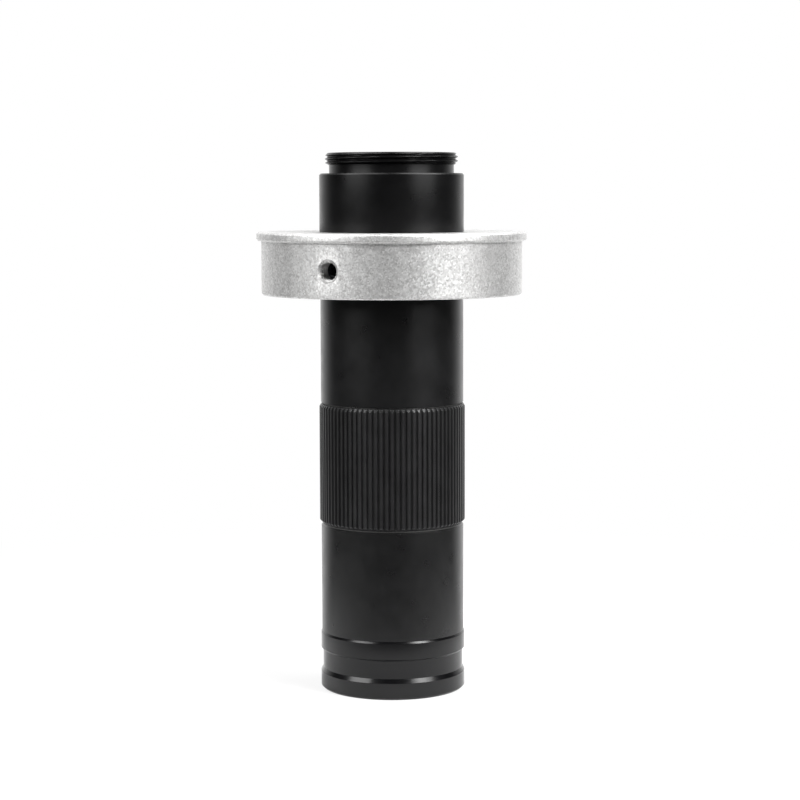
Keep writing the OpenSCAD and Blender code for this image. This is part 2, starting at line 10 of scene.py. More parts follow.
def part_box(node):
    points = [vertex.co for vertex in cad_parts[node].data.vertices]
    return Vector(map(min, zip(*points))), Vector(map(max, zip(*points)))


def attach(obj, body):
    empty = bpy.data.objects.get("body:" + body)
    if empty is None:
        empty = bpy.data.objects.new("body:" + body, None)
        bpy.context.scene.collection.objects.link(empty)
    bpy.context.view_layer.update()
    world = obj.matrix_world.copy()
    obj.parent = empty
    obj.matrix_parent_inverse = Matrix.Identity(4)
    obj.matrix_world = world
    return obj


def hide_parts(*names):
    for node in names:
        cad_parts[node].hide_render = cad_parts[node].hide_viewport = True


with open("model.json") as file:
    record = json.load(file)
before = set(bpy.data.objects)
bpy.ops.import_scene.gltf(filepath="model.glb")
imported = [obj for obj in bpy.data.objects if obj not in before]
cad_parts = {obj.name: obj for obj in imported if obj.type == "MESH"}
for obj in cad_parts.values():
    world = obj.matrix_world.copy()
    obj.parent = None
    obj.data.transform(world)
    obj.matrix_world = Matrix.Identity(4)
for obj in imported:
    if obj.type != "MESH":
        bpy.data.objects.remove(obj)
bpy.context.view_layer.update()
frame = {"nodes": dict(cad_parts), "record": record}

MM = 0.001
ON_AXIS = 1e-6
SEGMENTS = 256
HOLE_SEGMENTS = 64
HEXAGON_SIDES = 6
SMOOTH_ANGLE = math.radians(28)
FILLET_STEPS = 4
FILLET_REACH_SHARE = 0.49
FINE_EDGE = 0.06

# Sizes in millimetres that the frame's boxes don't give
JOINT_R = 12.3
LENS_CLEAR_R = 9.2
LENS_BORE_R = 10.02
RETAINER_BORE_R = 10.52
EDGE = 0.3
TUBE_R = 13.75

# Camera mount thread, one inch by 32 to the inch
MOUNT_R = 12.7
MOUNT_PITCH = 25.4 / 32
MOUNT_THREAD_DEPTH = 0.46
MOUNT_THREAD_H = 2.3
MOUNT_ROW = 0.06
MOUNT_RUNOUT_H = 0.375
MOUNT_LEAD = 0.5
MOUNT_CREST_Z = 102.54
RELIEF_R = 11.95
RELIEF_H = 1.6
HEAD_JOINT_BORE_R = 9.3
REAR_SEAT_BELOW_TOP = 6.5
RELAY_SEAT_BELOW_TOP = 13.32

# Section of a thread, as shares of half a pitch from the middle of its root
THREAD_ROOT_FLAT = 0.12
THREAD_FLANK = 0.66

# Holder ring and its grub screws
FLANGE_H = 1.6
FLANGE_FILLET = 0.5
HOLDER_R = 25.0
HOLDER_BORE_R = 13.8
GRUB_R = 2.0
GRUB_PITCH = 0.7
GRUB_THREAD_DEPTH = 0.36
GRUB_HOLE_GAP = 0.02
GRUB_LENGTH = 8.0
GRUB_TIP_R = 1.0
GRUB_TIP_H = 0.45
GRUB_TIP_TO_THREAD = 0.05
GRUB_THREAD_TO_END = 0.3
GRUB_END_CHAMFER = 0.1
GRUB_FROM_AXIS = 13.8
GRUB_HEX = 2.0
GRUB_HEX_DEPTH = 2.2
GRUB_ABOVE_FOOT = 5.15
GRUB_TURNS = [math.radians(turn) for turn in (-118, 2, 122)]
GRUB_ROW = 0.07
HOLE_CHAMFER = 0.35
HOLE_THREAD_OVERLAP = 1.5
HOLE_THREAD_STEP = 0.01
CUT_BEYOND = 1

# Zoom ring
RIDGES = 84
RIDGE_DEPTH = 0.38
ZOOM_BORE_R = 12.35
ZOOM_FOOT_CHAMFER = 0.6
ZOOM_TOP_CHAMFER = 0.35
ZOOM_TOP_CHAMFER_H = 0.6
ZOOM_END_EDGE = 0.06
ZOOM_END_CORNER = 0.01
ZOOM_END_CORNER_H = 0.02
KEYWAY_FLOOR = 13.05
KEYWAY_HALF_W = 1.08
KEYWAY_END_BELOW_TOP = 0.79
KEYWAY_END_STEP = 0.0001

# Heights from each end of the zoom ring, through the chamfers
CHAMFER_ROWS = [0.05, 0.1, 0.16, 0.22, 0.28, 0.35, 0.42, 0.5, 0.56, 0.62, 0.7, 0.76]

# Half a ridge of the knurl: shares of the pitch from its middle, and shares of its height
RIDGE_HALF_PITCH = 0.5
RIDGE_PROFILE = [
    (0.0, 1.0), (0.1, 1.0), (0.15, 0.97), (0.19, 0.86), (0.235, 0.66),
    (0.30, 0.32), (0.35, 0.08), (0.385, 0.01), (0.43, 0.0), (RIDGE_HALF_PITCH, 0.0)]

# Front ring
GROOVE_R = 13.55
FRONT_BAND_H = 4.0
FRONT_TAPER_H = 0.8
GROOVE_TOP = 7.4
REAR_BAND_R = 13.95
REAR_BAND_TOP = 11.2
REAR_TAPER_H = 0.4
REAR_FOOT_TAPER_H = 0.4
SEAM_STEP = 0.05
SEAM_FILLET = 0.02
FOOT_CHAMFER = 0.4
OBJECTIVE_SEAT_Z = 9.15
OBJECTIVE_THREAD_TOP = 3.09

# Noise in the finishes: features per millimetre, and the span of its values that is used
EVEN = (1, 1, 1)
NOISE_SPAN = (0.3, 0.7)
PALER = 1.25

# Black anodising, by slot; each bump is a depth in millimetres and a strength
ANODISED = {
    "head_black": {"grey": 0.0028, "blue": 1.06, "roughness": 0.3, "gloss": 0.14},
    "barrel_black": {"grey": 0.0065, "blue": 1.04, "roughness": 0.3, "gloss": 0.27},
    "knurl_black": {"grey": 0.013, "blue": 1.03, "roughness": 0.34, "gloss": 0.34},
    "tube_black": {"grey": 0.0055, "blue": 1.04, "roughness": 0.3, "gloss": 0.33},
    "front_black": {"grey": 0.003, "blue": 1.12, "roughness": 0.2, "gloss": 0.3},
    "inner_black": {"grey": 0.009, "blue": 1.0, "roughness": 0.5, "gloss": 0.5},
}
TURNING_LINES = (0.02, 0.02, 6.0)
TURNING_BUMP = (0.004, 0.3)
GRAIN_PER_MM = 8.0
GRAIN_BUMP = (0.003, 0.3)
CLOUD_PER_MM = 0.3
CLOUD_ROUGHNESS = (-0.03, 0.04)

# Turned metal, by slot
TURNED = {
    "screw_black": {"colour": (0.05, 0.05, 0.055), "roughness": 0.35, "metallic": 0.9},
    "cell_brass": {"colour": (0.55, 0.42, 0.18), "roughness": 0.3, "metallic": 1.0},
    "pin_brass": {"colour": (0.62, 0.48, 0.22), "roughness": 0.25, "metallic": 1.0},
}
METAL_LINES = (0.05, 0.05, 9.0)
METAL_BUMP = (0.006, 0.4)
METAL_ROUGHNESS = (-0.05, 0.06)
METAL_SHEEN = 0.01

# Coated glass, by slot, with the thickness of its coating in nanometres
GLASS = {
    "crown_glass": {"tint": (0.96, 0.99, 1.0), "film_nm": 380},
    "flint_glass": {"tint": (0.97, 0.99, 0.98), "film_nm": 460},
}
GLASS_IOR = 1.52
FILM_IOR = 1.38
GLASS_PALER = 1.02
HAZE_PER_MM = 0.2

# Silver of the holder ring
SILVER_METALLIC = 0.9
SILVER_CELLS_PER_MM = 3.4
SILVER_CLOUD_PER_MM = 0.6
SILVER_DARK = (0.47, 0.465, 0.46)
SILVER_PALE = (0.82, 0.82, 0.815)
SILVER_ROUGHNESS = (0.48, 0.56)
SILVER_TILT = 0.08
CELL_MIDDLE = (0.5, 0.5, 0.5)

# Plastic of the washers
WASHER_DARK = (0.03, 0.03, 0.0295)
WASHER_PALE = (0.045, 0.045, 0.044)
WASHER_ROUGHNESS = 0.45
SPECKLE_PER_MM = 3.0
SPECKLE_BUMP = (0.01, 0.3)

# Camera of the photograph, from the fit to the rims of the rings
IMAGE_PX = 800
SENSOR_MM = 36
FOCAL_PX = 2173
CAMERA_PLACE = (1.52, -418, 96.3)
CAMERA_DOWN = math.radians(5.53)
CAMERA_ROLL = math.radians(-0.15)

# Lamps, with places and sizes in millimetres and power in watts
LAMPS = {
    "softbox_left": {"place": (-441, -276, 400), "aim": (0, 0, 400), "size": (340, 500), "power": 4.6},
    "softbox_right": {"place": (415, -313, 380), "aim": (0, 0, 380), "size": (340, 500), "power": 4.4},
    "kicker_right": {"place": (340, -250, 420), "aim": (0, 0, 10), "size": (150, 280), "power": 1.9},
    "strip_left": {"place": (-200, 100, 560), "aim": (0, 0, 0), "size": (120, 340), "power": 1.1},
    "strip_right": {"place": (200, 100, 560), "aim": (0, 0, 0), "size": (120, 340), "power": 1.7},
}

# Room: the share of a direction that points behind the lens, or up, where its light changes
ROOM_BEHIND = (0.36, 0.85)
BACKDROP_TOP = (0.7, 0.3)
BACKDROP_GLOW = 1.4
CEILING_SHARE = 0.15
DARK_ROOM_GLOW = 0.04

# Paper on the floor: distances in millimetres from the lens's axis, and its colours; its dark grey is
# painted shade that reflections and bounce light see in front of the lens
FLOOR_SIZE = 4000
# Painted shade: the dark grey the paper has in front of the lens for every ray but the camera's
FLOOR_PAINTED_SHADE = 0.05
FLOOR_WHITE = 0.9
PAPER_ROUGHNESS = 0.7
PAPER_GLOSS = 0.1
PAPER_NEAR = (88, 18)
PAPER_STRETCH = (0.5, 1, 1)
GLOW_FAR = (60, 200)
CONTACT_GLOW = 0.75


def metres(lengths):
    return [length * MM for length in lengths]


# Frame readings, in millimetres

def foot_of(node):
    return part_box(node)[0].z / MM


def top_of(node):
    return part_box(node)[1].z / MM


def radius_of(node):
    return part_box(node)[1].x / MM


# Mesh building

def new_object(name):
    obj = bpy.data.objects.new(name, bpy.data.meshes.new(name))
    bpy.context.scene.collection.objects.link(obj)
    return obj


def write_mesh(obj, bm):
    """Writes the bmesh to the object, with outward normals and edges sharp past an angle."""
    bmesh.ops.recalc_face_normals(bm, faces=bm.faces)
    for face in bm.faces:
        face.smooth = True
    bm.to_mesh(obj.data)
    bm.free()
    obj.data.set_sharp_from_angle(angle=SMOOTH_ANGLE)


def filleted(corners):
    """A closed outline of (r, z, fillet) corners as points, each corner rounded by an arc."""
    points = []
    for i, (r, z, fillet) in enumerate(corners):
        here = Vector((r, z))
        if fillet == 0:
            points.append((r, z))
            continue
        before = Vector(corners[i - 1][:2]) - here
        after = Vector(corners[(i + 1) % len(corners)][:2]) - here
        half = before.angle(after) / 2
        longest = FILLET_REACH_SHARE * min(before.length, after.length)
        reach = min(fillet / math.tan(half), longest)
        start = here + before.normalized() * reach
        end = here + after.normalized() * reach
        inward = (before.normalized() + after.normalized()).normalized()
        centre = here + inward * (reach / math.cos(half))
        arc_r = (start - centre).length
        for k in range(FILLET_STEPS + 1):
            towards = start.lerp(end, k / FILLET_STEPS) - centre
            points.append(tuple(centre + towards.normalized() * arc_r))
    return points


def rows_between(outline, low, high, step):
    """The outline with extra points on its upright stretches between two heights."""
    points = []
    for i, (r, z) in enumerate(outline):
        next_r, next_z = outline[(i + 1) % len(outline)]
        points.append((r, z))
        if min(z, next_z) < low - step or max(z, next_z) > high + step:
            continue
        count = int(abs(next_z - z) / step)
        for k in range(1, count):
            share = k / count
            points.append((r + (next_r - r) * share, z + (next_z - z) * share))
    return points


def even_turns(count=SEGMENTS):
    return [2 * math.pi * k / count for k in range(count)]


def lathe(name, outline, turns=None, shape=None):
    """Turns a closed outline of (r, z) in millimetres round Z, with radii from shape(r, z, turn)."""
    turns = turns or even_turns()
    obj = new_object(name)
    bm = bmesh.new()
    rings = []
    for r, z in outline:
        if r < ON_AXIS:
            rings.append([bm.verts.new((0, 0, z * MM))])
            continue
        radii = [shape(r, z, turn) if shape else r for turn in turns]
        rings.append([
            bm.verts.new((radius * MM * math.cos(turn), radius * MM * math.sin(turn), z * MM))
            for radius, turn in zip(radii, turns)])
    count = len(turns)
    for i, a in enumerate(rings):
        b = rings[(i + 1) % len(rings)]
        for k in range(count):
            n = (k + 1) % count
            corners = [a[k % len(a)], a[n % len(a)], b[n % len(b)], b[k % len(b)]]
            corners = list(dict.fromkeys(corners))
            if len(corners) > 2:
                bm.faces.new(corners)
    write_mesh(obj, bm)
    return obj


def thread_wave(along, turn, pitch):
    """0 on the crest and 1 at the root of a right-handed thread, with a small flat on each."""
    wave = along / pitch - turn / (2 * math.pi)
    saw = abs(2 * (wave - math.floor(wave)) - 1)
    return 1 - min(1, max(0, (saw - THREAD_ROOT_FLAT) / THREAD_FLANK))


def cut(obj, cutter):
    """Takes the cutter's solid out of the object."""
    modifier = obj.modifiers.new("cut", "BOOLEAN")
    modifier.operation = "DIFFERENCE"
    modifier.solver = "EXACT"
    modifier.object = cutter
    bpy.context.view_layer.update()
    evaluated = obj.evaluated_get(bpy.context.evaluated_depsgraph_get())
    obj.data = bpy.data.meshes.new_from_object(evaluated)
    obj.modifiers.clear()
    bpy.data.objects.remove(cutter)
    for polygon in obj.data.polygons:
        polygon.use_smooth = True
    obj.data.set_sharp_from_angle(angle=SMOOTH_ANGLE)


def lay_radially(obj, turn, from_axis, z):
    """Moves a mesh that was turned round Z so that it points away from the lens's axis."""
    move = Matrix.Rotation(turn, 4, "Z") @ Matrix.Translation((from_axis * MM, 0, z * MM))
    obj.data.transform(move @ Matrix.Rotation(math.pi / 2, 4, "Y"))


def joined(name, parts):
    """One object that holds the meshes of several."""
    obj = new_object(name)
    bm = bmesh.new()
    for part in parts:
        bm.from_mesh(part.data)
        bpy.data.objects.remove(part)
    write_mesh(obj, bm)
    return obj


def stand_in(obj, finishes, node, body, slot):
    """Puts the piece in the CAD node's place, on its body and in its slot, with its finish."""
    obj.data.materials.clear()
    obj.data.materials.append(finishes[slot])
    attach(obj, body)
    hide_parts(node)


# Shader nodes

class Nodes:
    """Short calls for the nodes that the finishes and the room share."""

    def __init__(self, tree):
        self.tree = tree

    def new(self, kind):
        return self.tree.nodes.new(kind)

    def link(self, output, socket):
        self.tree.links.new(output, socket)

    def maths(self, operation, a, b):
        """A maths node of two outputs."""
        node = self.new("ShaderNodeMath")
        node.operation = operation
        self.link(a, node.inputs[0])
        self.link(b, node.inputs[1])
        return node.outputs[0]

    def vector_maths(self, operation, a, b=None, c=None):
        """The outputs of a vector maths node of an output, perhaps a fixed vector and another output."""
        node = self.new("ShaderNodeVectorMath")
        node.operation = operation
        self.link(a, node.inputs[0])
        if b is not None:
            node.inputs[1].default_value = b
        if c is not None:
            self.link(c, node.inputs[2])
        return node.outputs

    def length(self, vector):
        return self.vector_maths("LENGTH", vector)["Value"]

    def direction(self, vector):
        return self.vector_maths("NORMALIZE", vector)["Vector"]

    def parts(self, vector):
        """The vector's X, Y and Z."""
        node = self.new("ShaderNodeSeparateXYZ")
        self.link(vector, node.inputs["Vector"])
        return node.outputs

    def ranged(self, value, low, high, span=NOISE_SPAN, smooth=False):
        """The value's place in the span, as a number from low to high."""
        node = self.new("ShaderNodeMapRange")
        node.interpolation_type = "SMOOTHSTEP" if smooth else "LINEAR"
        node.inputs["From Min"].default_value = span[0]
        node.inputs["From Max"].default_value = span[1]
        node.inputs["To Min"].default_value = low
        node.inputs["To Max"].default_value = high
        self.link(value, node.inputs["Value"])
        return node.outputs["Result"]

    def mixed_shaders(self, factor, first, second):
        node = self.new("ShaderNodeMixShader")
        self.link(factor, node.inputs[0])
        self.link(first, node.inputs[1])
        self.link(second, node.inputs[2])
        return node.outputs[0]


class Finish(Nodes):
    """A material, with calls for its own sockets, colours, noise and bump."""

    def __init__(self, name):
        self.material = bpy.data.materials.new(name)
        self.material.use_nodes = True
        super().__init__(self.material.node_tree)
        self.shader = self.tree.nodes["Principled BSDF"]
        self.coordinates = self.new("ShaderNodeTexCoord").outputs["Object"]

    def constant(self, socket, value):
        self.shader.inputs[socket].default_value = value

    def feed(self, output, socket):
        self.link(output, self.shader.inputs[socket])

    def noise(self, per_mm=1.0, stretch=EVEN, detail=3.0):
        """Noise over object coordinates in millimetres, each axis scaled by stretch."""
        mapping = self.new("ShaderNodeMapping")
        mapping.inputs["Scale"].default_value = [s / MM for s in stretch]
        self.link(self.coordinates, mapping.inputs["Vector"])
        node = self.new("ShaderNodeTexNoise")
        node.inputs["Scale"].default_value = per_mm
        node.inputs["Detail"].default_value = detail
        self.link(mapping.outputs["Vector"], node.inputs["Vector"])
        return node.outputs["Fac"]

    def cells(self, per_mm):
        """A random colour for each small cell of the surface."""
        node = self.new("ShaderNodeTexVoronoi")
        node.inputs["Scale"].default_value = per_mm / MM
        self.link(self.coordinates, node.inputs["Vector"])
        return node.outputs["Color"]

    def facets(self, cells, tilt):
        """Normals that lean a little to a random side in each cell."""
        normal = self.new("ShaderNodeNewGeometry").outputs["Normal"]
        side = self.vector_maths("SUBTRACT", cells, CELL_MIDDLE)["Vector"]
        leaning = self.vector_maths("MULTIPLY_ADD", side, (tilt, tilt, tilt), normal)["Vector"]
        return self.direction(leaning)

    def uneven(self, noise, middle, spread):
        """A number that the noise moves from the middle by the spread, down and up."""
        return self.ranged(noise, middle + spread[0], middle + spread[1])

    def mixed(self, factor, colour_a, colour_b):
        """A mix of two fixed colours."""
        node = self.new("ShaderNodeMix")
        node.data_type = "RGBA"
        first, second = [s for s in node.inputs if s.type == "RGBA"]
        first.default_value = (*colour_a, 1.0)
        second.default_value = (*colour_b, 1.0)
        self.link(factor, node.inputs[0])
        return [s for s in node.outputs if s.type == "RGBA"][0]

    def bumped(self, height, depth_mm, strength, under=None):
        """Normals of a bump, perhaps laid over those of another."""
        node = self.new("ShaderNodeBump")
        node.inputs["Distance"].default_value = depth_mm * MM
        node.inputs["Strength"].default_value = strength
        self.link(height, node.inputs["Height"])
        if under is not None:
            self.link(under, node.inputs["Normal"])
        return node.outputs["Normal"]


# Finishes

def anodised(name, grey, blue, roughness, gloss):
    """Satin black anodising: a fine etched grain, faint turning lines and slightly uneven gloss."""
    finish = Finish(name)
    finish.constant("Specular IOR Level", gloss)
    colour = (grey, grey, grey * blue)
    pale = [c * PALER for c in colour]
    grain = finish.noise(GRAIN_PER_MM)
    cloud = finish.noise(CLOUD_PER_MM)
    lines = finish.noise(stretch=TURNING_LINES, detail=2.0)
    finish.feed(finish.mixed(finish.ranged(cloud, 0, 1), colour, pale), "Base Color")
    finish.feed(finish.uneven(cloud, roughness, CLOUD_ROUGHNESS), "Roughness")
    turned = finish.bumped(lines, *TURNING_BUMP)
    finish.feed(finish.bumped(grain, *GRAIN_BUMP, under=turned), "Normal")
    return finish.material


def blasted_silver(name):
    """Bead-blasted aluminium: small facets that sparkle, under a soft cloudiness."""
    finish = Finish(name)
    finish.constant("Metallic", SILVER_METALLIC)
    cells = finish.cells(SILVER_CELLS_PER_MM)
    cloud = finish.noise(SILVER_CLOUD_PER_MM)
    finish.feed(finish.mixed(cells, SILVER_DARK, SILVER_PALE), "Base Color")
    finish.feed(finish.ranged(cloud, *SILVER_ROUGHNESS), "Roughness")
    finish.feed(finish.facets(cells, SILVER_TILT), "Normal")
    return finish.material


def turned_metal(name, colour, roughness, metallic):
    """Turned metal with fine lines round the axis."""
    finish = Finish(name)
    finish.constant("Metallic", metallic)
    lines = finish.noise(stretch=METAL_LINES)
    pale = [min(1.0, c * PALER + METAL_SHEEN) for c in colour]
    finish.feed(finish.mixed(finish.ranged(lines, 0, 1), colour, pale), "Base Color")
    finish.feed(finish.uneven(lines, roughness, METAL_ROUGHNESS), "Roughness")
    finish.feed(finish.bumped(lines, *METAL_BUMP), "Normal")
    return finish.material


def washer_plastic(name):
    """Low-friction plastic filled with graphite, which makes it dark grey."""
    finish = Finish(name)
    finish.constant("Roughness", WASHER_ROUGHNESS)
    speckle = finish.noise(SPECKLE_PER_MM)
    finish.feed(finish.mixed(finish.ranged(speckle, 0, 1), WASHER_DARK, WASHER_PALE), "Base Color")
    finish.feed(finish.bumped(speckle, *SPECKLE_BUMP), "Normal")
    return finish.material


def coated_glass(name, tint, film_nm):
    """Optical glass whose thin coating gives its reflections their colour."""
    finish = Finish(name)
    finish.constant("Roughness", 0.0)
    finish.constant("IOR", GLASS_IOR)
    finish.constant("Transmission Weight", 1.0)
    finish.constant("Thin Film Thickness", film_nm)
    finish.constant("Thin Film IOR", FILM_IOR)
    haze = finish.noise(HAZE_PER_MM, detail=2.0)
    pale = [min(1.0, c * GLASS_PALER) for c in tint]
    finish.feed(finish.mixed(finish.ranged(haze, 0, 1), tint, pale), "Base Color")
    return finish.material


def make_finishes():
    """The finish of each slot."""
    finishes = {slot: anodised(slot + "_finish", **look) for slot, look in ANODISED.items()}
    finishes.update({slot: turned_metal(slot + "_finish", **look) for slot, look in TURNED.items()})
    finishes.update({slot: coated_glass(slot + "_finish", **look) for slot, look in GLASS.items()})
    finishes["holder_silver"] = blasted_silver("holder_silver_finish")
    finishes["washer_plastic"] = washer_plastic("washer_plastic_finish")
    return finishes


def dress_cad_nodes(finishes):
    """Every CAD piece gets the finish of its slot."""
    for subpart in frame["record"]["subparts"]:
        node = frame["nodes"][subpart["node"]]
        node.data.materials.clear()
        node.data.materials.append(finishes[subpart["material_slot"]])


# Pieces

def build_head(finishes):
    """The head, with the helical camera mount thread cut on its top."""
    top = top_of("c_mount_head")
    foot = foot_of("c_mount_head")
    r = radius_of("c_mount_head")
    head_foot = top_of("main_barrel")
    thread_foot = top - MOUNT_THREAD_H
    shoulder = thread_foot - RELIEF_H
    rear_seat = top - REAR_SEAT_BELOW_TOP
    relay_seat = top - RELAY_SEAT_BELOW_TOP
    outline = filleted([
        (HEAD_JOINT_BORE_R, foot, 0), (JOINT_R, foot, 0), (JOINT_R, head_foot, 0),
        (r, head_foot, FINE_EDGE), (r, shoulder - EDGE, FINE_EDGE), (r - EDGE, shoulder, FINE_EDGE),
        (RELIEF_R, shoulder, FINE_EDGE), (RELIEF_R, thread_foot, 0),
        (MOUNT_R, thread_foot + MOUNT_RUNOUT_H, 0), (MOUNT_R, top - MOUNT_LEAD, 0),
        (MOUNT_R - MOUNT_LEAD, top, FINE_EDGE), (RETAINER_BORE_R + EDGE, top, FINE_EDGE),
        (RETAINER_BORE_R, top - EDGE, FINE_EDGE), (RETAINER_BORE_R, rear_seat, 0),
        (LENS_BORE_R, rear_seat, 0), (LENS_BORE_R, relay_seat, 0), (LENS_CLEAR_R, relay_seat, 0),
        (LENS_CLEAR_R, head_foot, 0), (HEAD_JOINT_BORE_R, head_foot, 0)])
    outline = rows_between(outline, thread_foot, top, MOUNT_ROW)

    def thread(r, z, turn):
        if r < RELIEF_R or z < thread_foot:
            return r
        depth = MOUNT_THREAD_DEPTH * thread_wave(z - MOUNT_CREST_Z, turn, MOUNT_PITCH)
        return min(r, MOUNT_R - depth)

    obj = lathe("head_shape", outline, shape=thread)
    stand_in(obj, finishes, "c_mount_head", "lens_body", "head_black")


def build_front_ring(finishes):
    """The two bands and the ring light groove, with their fine edges."""
    top = top_of("front_ring")
    r = radius_of("front_ring")
    mouth = RETAINER_BORE_R + FOOT_CHAMFER
    outline = filleted([
        (mouth, 0, FINE_EDGE), (r - FOOT_CHAMFER, 0, FINE_EDGE), (r, FOOT_CHAMFER, FINE_EDGE),
        (r, FRONT_BAND_H - FRONT_TAPER_H, FINE_EDGE), (GROOVE_R, FRONT_BAND_H, FINE_EDGE),
        (GROOVE_R, GROOVE_TOP, FINE_EDGE), (REAR_BAND_R, GROOVE_TOP + REAR_FOOT_TAPER_H, FINE_EDGE),
        (REAR_BAND_R, REAR_BAND_TOP - REAR_TAPER_H, FINE_EDGE),
        (TUBE_R - SEAM_STEP, REAR_BAND_TOP, SEAM_FILLET),
        (JOINT_R, REAR_BAND_TOP, 0), (JOINT_R, top, 0), (LENS_CLEAR_R, top, 0),
        (LENS_CLEAR_R, OBJECTIVE_SEAT_Z, 0), (LENS_BORE_R, OBJECTIVE_SEAT_Z, 0),
        (LENS_BORE_R, OBJECTIVE_THREAD_TOP, 0), (RETAINER_BORE_R, OBJECTIVE_THREAD_TOP, 0),
        (RETAINER_BORE_R, FOOT_CHAMFER, FINE_EDGE)])
    obj = lathe("front_ring_shape", outline)
    stand_in(obj, finishes, "front_ring", "lens_body", "front_black")


def ridge_height(turn):
    """Height of the knurl over its roots, as a share, at a turn round the axis."""
    from_ridge = turn / (2 * math.pi) * RIDGES
    u = abs(from_ridge - round(from_ridge))
    for (u0, h0), (u1, h1) in zip(RIDGE_PROFILE, RIDGE_PROFILE[1:]):
        if u <= u1:
            return h0 + (h1 - h0) * (u - u0) / (u1 - u0)
    return 0.0


def ridge_turns():
    """The turns round the axis at which the knurl's section has its points."""
    one_side = [u for u, _ in RIDGE_PROFILE]
    shares = sorted({-u for u in one_side if u < RIDGE_HALF_PITCH} | set(one_side))
    circle = 2 * math.pi
    return sorted((circle * (i + u) / RIDGES) % circle for i in range(RIDGES) for u in shares)


def keyway_radius(turn):
    """Radius of the bore at a turn, with the flat floors of the two keyways."""
    from_key = abs((turn + math.pi / 2) % math.pi - math.pi / 2)
    if KEYWAY_FLOOR * math.tan(from_key) < KEYWAY_HALF_W:
        return KEYWAY_FLOOR / math.cos(from_key)
    return ZOOM_BORE_R


def build_zoom_ring(finishes):
    """The knurled ring, with rounded ridges that end in the chamfers."""
    foot = foot_of("zoom_ring")
    top = top_of("zoom_ring")
    r = radius_of("zoom_ring")
    root_r = r - RIDGE_DEPTH
    key_top = top - KEYWAY_END_BELOW_TOP
    foot_r = r - ZOOM_FOOT_CHAMFER
    top_r = r - ZOOM_TOP_CHAMFER
    outline = [(ZOOM_BORE_R, foot), (foot_r - ZOOM_END_EDGE, foot)]
    outline += [(foot_r - ZOOM_END_CORNER, foot + ZOOM_END_CORNER_H)]
    outline += [(r, foot + up) for up in CHAMFER_ROWS]
    outline += [(r, top - down) for down in reversed(CHAMFER_ROWS)]
    outline += [(top_r - ZOOM_END_CORNER, top - ZOOM_END_CORNER_H)]
    outline += [(top_r - ZOOM_END_EDGE, top), (ZOOM_BORE_R, top)]
    outline += [(ZOOM_BORE_R, key_top), (ZOOM_BORE_R - KEYWAY_END_STEP, key_top)]

    def ridges(radius, z, turn):
        ridge_r = root_r + RIDGE_DEPTH * ridge_height(turn)
        if radius < ZOOM_BORE_R or (radius == ZOOM_BORE_R and z == foot):
            return keyway_radius(turn)
        if radius == ZOOM_BORE_R:
            return radius
        if radius < r:
            return min(radius, ridge_r)
        top_cone_r = top_r + (top - z) * ZOOM_TOP_CHAMFER / ZOOM_TOP_CHAMFER_H
        return min(foot_r + z - foot, top_cone_r, ridge_r)

    obj = lathe("zoom_ring_shape", outline, turns=ridge_turns(), shape=ridges)
    stand_in(obj, finishes, "zoom_ring", "zoom", "knurl_black")


def grub_hole_cutter(turn, z):
    """A threaded hole with a countersunk mouth, as the solid to take out."""
    hole_r = GRUB_R + GRUB_HOLE_GAP
    start = HOLDER_BORE_R - CUT_BEYOND
    mouth = HOLDER_R - HOLE_CHAMFER
    thread_start = GRUB_FROM_AXIS + GRUB_LENGTH - HOLE_THREAD_OVERLAP
    steps = int((mouth - thread_start) / GRUB_ROW)
    beyond = HOLE_CHAMFER + CUT_BEYOND
    outline = [(0, start), (hole_r, start), (hole_r, thread_start - HOLE_THREAD_STEP)]
    outline += [(GRUB_R, thread_start + (mouth - thread_start) * k / steps) for k in range(steps + 1)]
    outline += [(GRUB_R + beyond, mouth + beyond), (0, mouth + beyond)]

    def thread(r, x, around):
        if r != GRUB_R:
            return r
        return hole_r - GRUB_THREAD_DEPTH * thread_wave(x, around, GRUB_PITCH)

    cutter = lathe("grub_hole_cutter", outline, turns=even_turns(HOLE_SEGMENTS), shape=thread)
    lay_radially(cutter, turn, 0, z)
    return cutter


def build_holder_ring(finishes):
    """The silver ring with its thin flange, edge breaks and three threaded holes."""
    foot = foot_of("holder_ring")
    top = top_of("holder_ring")
    r = radius_of("holder_ring")
    flange = top - FLANGE_H
    outline = filleted([
        (HOLDER_BORE_R + EDGE, foot, FINE_EDGE), (HOLDER_R - EDGE, foot, FINE_EDGE),
        (HOLDER_R, foot + EDGE, FINE_EDGE), (HOLDER_R, flange, FLANGE_FILLET),
        (r - EDGE, flange, FINE_EDGE), (r, flange + EDGE, FINE_EDGE),
        (r, top - EDGE, FINE_EDGE), (r - EDGE, top, FINE_EDGE),
        (HOLDER_BORE_R + EDGE, top, FINE_EDGE), (HOLDER_BORE_R, top - EDGE, FINE_EDGE),
        (HOLDER_BORE_R, foot + EDGE, FINE_EDGE)])
    obj = lathe("holder_ring_shape", outline)
    for turn in GRUB_TURNS:
        cut(obj, grub_hole_cutter(turn, foot + GRUB_ABOVE_FOOT))
    stand_in(obj, finishes, "holder_ring", "holder", "holder_silver")


